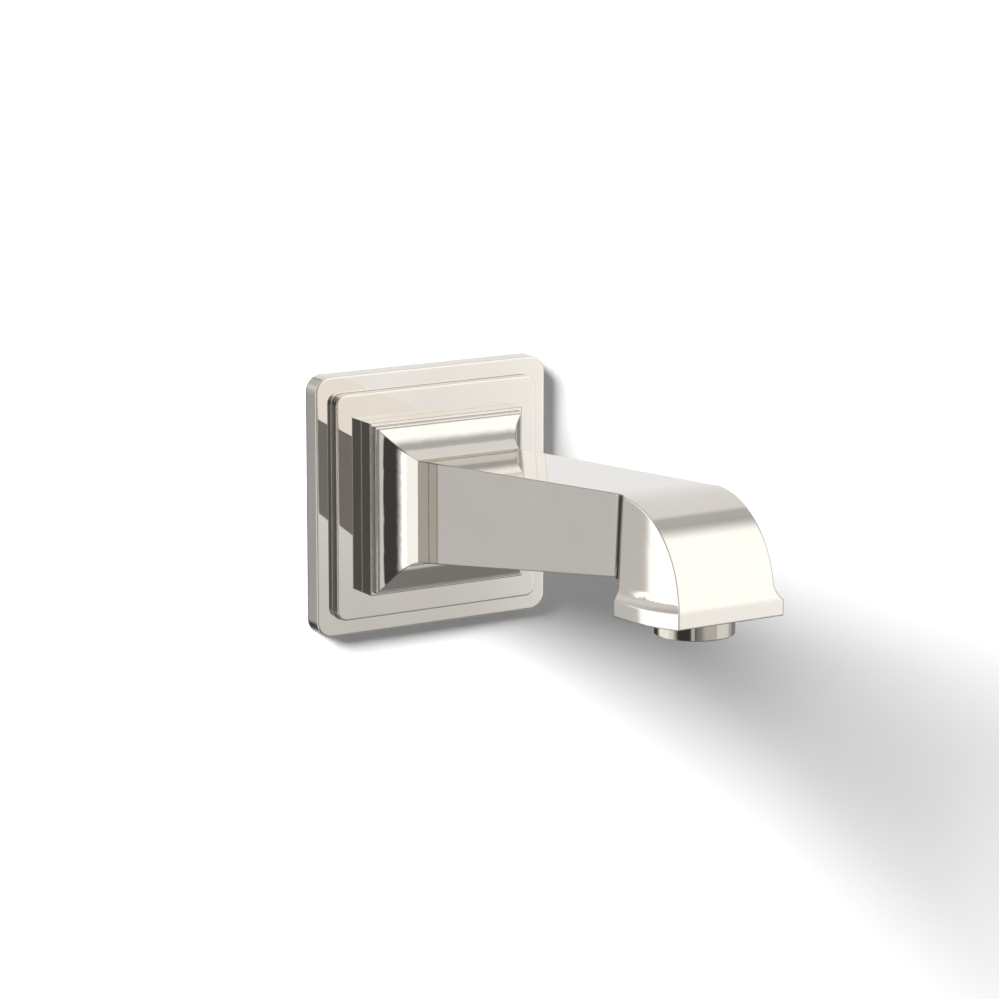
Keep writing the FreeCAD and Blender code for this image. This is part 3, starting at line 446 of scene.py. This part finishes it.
def panelGroup():
    # one soft-edged panel: a smooth step at each of its four sides, multiplied together
    group = bpy.data.node_groups.new("lightPanel", "ShaderNodeTree")
    for name in ("Azimuth", "Height", "Strength"):
        group.interface.new_socket(name, in_out="INPUT", socket_type="NodeSocketFloat")
    for side in ("Left", "Right", "Low", "High"):
        for end in ("Start", "End"):
            group.interface.new_socket(side + " " + end, in_out="INPUT", socket_type="NodeSocketFloat")
    group.interface.new_socket("Light", in_out="OUTPUT", socket_type="NodeSocketFloat")
    given = addNode(group, "NodeGroupInput").outputs
    light = given["Strength"]
    for side, along, first in (("Left", "Azimuth", 0.0), ("Right", "Azimuth", 1.0),
                               ("Low", "Height", 0.0), ("High", "Height", 1.0)):
        step = addNode(group, "ShaderNodeMapRange",
                       {"Value": given[along], "From Min": given[side + " Start"],
                        "From Max": given[side + " End"]},
                       {"To Min": first, "To Max": 1.0 - first}, interpolation_type="SMOOTHSTEP")
        product = addNode(group, "ShaderNodeMath", {0: light, 1: step.outputs["Result"]}, operation="MULTIPLY")
        light = product.outputs["Value"]
    addNode(group, "NodeGroupOutput", {"Light": light})
    return group


def buildWorld():
    # the camera sees a plain backdrop, reflections see the panels, and everything else an even light
    world = bpy.data.worlds.new("studio")
    bpy.context.scene.world = world
    world.use_nodes = True
    tree = world.node_tree
    tree.nodes.clear()

    sky = addNode(tree, "ShaderNodeTexCoord").outputs["Generated"]
    way = addNode(tree, "ShaderNodeSeparateXYZ", {"Vector": sky})
    ahead = addNode(tree, "ShaderNodeMath", {0: way.outputs["Y"]}, {1: -1.0}, operation="MULTIPLY")
    turn = addNode(tree, "ShaderNodeMath", {0: way.outputs["X"], 1: ahead.outputs["Value"]},
                   operation="ARCTAN2")
    azimuth = addNode(tree, "ShaderNodeMath", {0: turn.outputs["Value"]}, operation="DEGREES")
    rise = addNode(tree, "ShaderNodeMath", {0: way.outputs["Z"]}, operation="ARCSINE")
    height = addNode(tree, "ShaderNodeMath", {0: rise.outputs["Value"]}, operation="DEGREES")
    group = panelGroup()
    light = None
    for panel in panels.values():
        ends = {"Strength": panel["strength"]}
        for side in ("left", "right", "low", "high"):
            place, width = panel[side]
            ends[side.title() + " Start"] = place - width / 2
            ends[side.title() + " End"] = place + width / 2
        angles = {"Azimuth": azimuth.outputs["Value"], "Height": height.outputs["Value"]}
        one = addNode(tree, "ShaderNodeGroup", angles, ends, node_tree=group)
        total = addNode(tree, "ShaderNodeMath", {0: one.outputs["Light"]}, {1: studio["dark"]}, operation="ADD")
        if light:
            tree.links.new(light, total.inputs[1])
        light = total.outputs["Value"]
    seen = addNode(tree, "ShaderNodeBackground", {"Color": light})
    even = addNode(tree, "ShaderNodeBackground", inputs={"Color": (1, 1, 1, 1), "Strength": studio["ambient"]})
    plain = addNode(tree, "ShaderNodeBackground",
                    inputs={"Color": hexColour(studio["backdrop"]), "Strength": 1.0})
    ray = addNode(tree, "ShaderNodeLightPath")
    lit = addNode(tree, "ShaderNodeMixShader",
                  {"Fac": ray.outputs["Is Glossy Ray"],
                   1: even.outputs["Background"], 2: seen.outputs["Background"]})
    both = addNode(tree, "ShaderNodeMixShader",
                   {"Fac": ray.outputs["Is Camera Ray"],
                    1: lit.outputs["Shader"], 2: plain.outputs["Background"]})
    addNode(tree, "ShaderNodeOutputWorld", {"Surface": both.outputs["Shader"]})


buildWorld()
print("room and light made")


view = {
    "azimuth": -30.9685,      # degrees round the part from straight in front of it
    "elevation": 12.2224,
    "roll": 0.0537,
    "lens": 142.921,          # millimetres, on a sensor 36 across
    "sensor": 36,
    "place": (-0.70256, -1.22563, 0.30314),   # metres
}


def buildCamera():
    data = bpy.data.cameras.new("camera")
    data.sensor_width = view["sensor"]
    data.lens = view["lens"]
    data.clip_start, data.clip_end = 0.05, 50
    camera = bpy.data.objects.new("camera", data)
    bpy.context.scene.collection.objects.link(camera)
    a, e, r = (math.radians(view[k]) for k in ("azimuth", "elevation", "roll"))
    back = Vector((math.sin(a) * math.cos(e), -math.cos(a) * math.cos(e), math.sin(e)))
    right = Vector((math.cos(a), math.sin(a), 0))
    up = back.cross(right)
    across = right * math.cos(r) + up * math.sin(r)
    above = up * math.cos(r) - right * math.sin(r)
    turn = Matrix((across, above, back)).transposed().to_4x4()
    camera.matrix_world = Matrix.Translation(view["place"]) @ turn
    bpy.context.scene.camera = camera


buildCamera()
bpy.context.scene.view_settings.view_transform = "Standard"
bpy.context.scene.view_settings.look = "None"

print("scene done")
